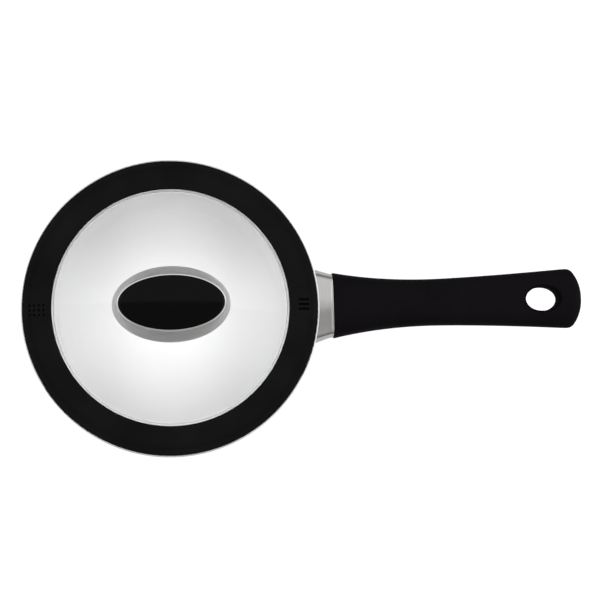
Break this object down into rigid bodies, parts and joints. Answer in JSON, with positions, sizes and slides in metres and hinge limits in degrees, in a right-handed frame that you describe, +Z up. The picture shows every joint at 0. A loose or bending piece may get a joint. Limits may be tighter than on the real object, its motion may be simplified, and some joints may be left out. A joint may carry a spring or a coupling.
{
  "type": "saucepan with glass lid",
  "caption": "Stainless steel saucepan with a long handle and a domed glass lid whose silicone rim strains liquid and whose oval knob lifts it off.",
  "frame": {"origin": "centre of the flat base, where the pan stands", "axes": "+Z up, +X along the handle, +Y to the left of the handle"},
  "size_m": [0.3593, 0.189, 0.1403],
  "materials": {
    "pan_steel": "brushed",
    "aluminium_core": "satin",
    "bracket_steel": "satin",
    "fastener_steel": "polished",
    "guard_steel": "brushed",
    "grip_plastic": "soft matte",
    "glass": "clear polished",
    "silicone": "matte",
    "bush_nylon": "satin",
    "knob_plastic": "satin",
    "insert_brass": "satin",
    "collar_steel": "brushed",
    "cap_plastic": "gloss"
  },
  "bodies": {
    "pan": {"pan_shell": "pan_steel", "heat_spreader": "aluminium_core", "base_cap": "pan_steel", "handle_bracket": "bracket_steel", "bracket_nut": "fastener_steel", "flame_guard": "guard_steel", "handle_grip": "grip_plastic", "handle_screw": "fastener_steel", "handle_lock_washer": "fastener_steel"},
    "knob_fixing": {"knob_screw": "fastener_steel", "knob_spring_washer": "fastener_steel", "knob_cup_washer": "fastener_steel"},
    "lid": {"glass_dome": "glass", "rim_seal": "silicone", "glass_bush": "bush_nylon", "knob_seat": "silicone", "knob_core": "knob_plastic", "knob_insert": "insert_brass", "knob_collar": "collar_steel", "knob_cap": "cap_plastic"}
  },
  "joints": [
    {"name": "lid_lift", "type": "slide", "parent": "pan", "child": "knob_fixing", "axis": [0, 0, 1], "range_m": [0, 0.15]},
    {"name": "lid_turn", "type": "hinge", "parent": "knob_fixing", "child": "lid", "pos_m": [0, 0, 0.1], "axis": [0, 0, 1], "continuous": true}
  ]
}
